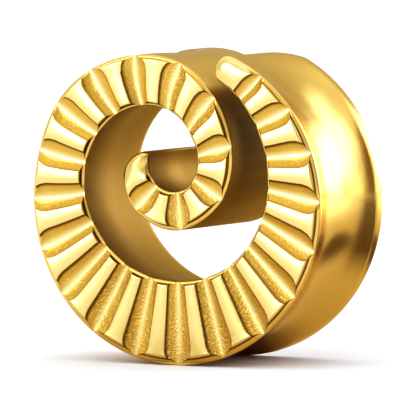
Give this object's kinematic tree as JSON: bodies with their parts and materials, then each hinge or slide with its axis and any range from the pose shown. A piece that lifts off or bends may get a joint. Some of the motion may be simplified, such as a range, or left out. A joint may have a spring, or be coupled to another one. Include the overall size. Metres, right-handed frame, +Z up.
{
  "type": "spiral ear plug",
  "caption": "Double-flared spiral ear plug: a cast band wound from a rounded outer tip to an inner curl, with a ribbed front face, a saddle-shaped outside and a flat back.",
  "frame": {"origin": "on the surface that the plug stands on, under the middle of its depth", "axes": "+Z up; +Y along the plug's axis from the ribbed face to the flat back; +X to the right as the face is seen"},
  "size_m": [0.0214, 0.0102, 0.0207],
  "materials": {
    "gold_plate": "gold plating on steel: polished rib tops and rims, finely sandy valleys, satin inner walls"
  },
  "bodies": {
    "root": {"spiral_plug": "gold_plate"}
  },
  "joints": []
}
